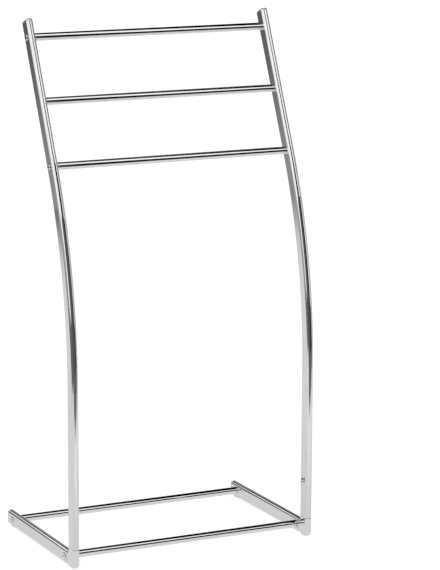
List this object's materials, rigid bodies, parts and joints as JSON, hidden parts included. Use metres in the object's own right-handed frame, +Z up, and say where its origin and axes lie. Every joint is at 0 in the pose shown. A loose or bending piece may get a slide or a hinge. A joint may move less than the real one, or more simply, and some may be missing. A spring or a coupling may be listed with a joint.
{
  "type": "freestanding towel stand",
  "caption": "Freestanding chrome towel stand: bent side uprights lean back over a screwed base and carry parallel round bars to hang towels on.",
  "frame": {"origin": "on the floor, in the middle of the stand's outline seen from above", "axes": "+Z up, +X along the bars to the user's right, +Y from the front, where the uprights stand, to the back, where they lean to"},
  "size_m": [0.4458, 0.29, 0.885],
  "materials": {
    "chrome_side_tube": "bright chrome plate on flat-sided steel tube with round edges",
    "chrome_bar": "bright chrome plate on round steel tube",
    "chrome_casting": "bright chrome plate on a zinc casting",
    "chrome_cap": "bright chrome plate, rounded edges",
    "chrome_screw": "bright plated steel",
    "zinc_insert": "plain zinc, hidden in the bars",
    "rubber_pad": "soft, matt, translucent grey"
  },
  "bodies": {
    "root": {"left_upright": "chrome_side_tube", "left_top_cap": "chrome_cap", "left_corner_block": "chrome_casting", "left_base_rail": "chrome_side_tube", "left_rail_end_cap": "chrome_cap", "right_upright": "chrome_side_tube", "right_top_cap": "chrome_cap", "right_corner_block": "chrome_casting", "right_base_rail": "chrome_side_tube", "right_rail_end_cap": "chrome_cap", "top_towel_bar": "chrome_bar", "middle_towel_bar": "chrome_bar", "lower_towel_bar": "chrome_bar", "front_base_bar": "chrome_bar", "back_base_bar": "chrome_bar", "top_bar_left_insert": "zinc_insert", "top_bar_left_screw": "chrome_screw", "lower_bar_left_insert": "zinc_insert", "lower_bar_left_screw": "chrome_screw", "front_bar_left_insert": "zinc_insert", "front_bar_left_screw": "chrome_screw", "back_bar_left_insert": "zinc_insert", "back_bar_left_screw": "chrome_screw", "middle_bar_left_peg": "zinc_insert", "left_upright_lock_screw": "chrome_screw", "front_left_floor_pad": "rubber_pad", "back_left_floor_pad": "rubber_pad", "top_bar_right_insert": "zinc_insert", "top_bar_right_screw": "chrome_screw", "lower_bar_right_insert": "zinc_insert", "lower_bar_right_screw": "chrome_screw", "front_bar_right_insert": "zinc_insert", "front_bar_right_screw": "chrome_screw", "back_bar_right_insert": "zinc_insert", "back_bar_right_screw": "chrome_screw", "middle_bar_right_peg": "zinc_insert", "right_upright_lock_screw": "chrome_screw", "front_right_floor_pad": "rubber_pad", "back_right_floor_pad": "rubber_pad"}
  },
  "joints": []
}
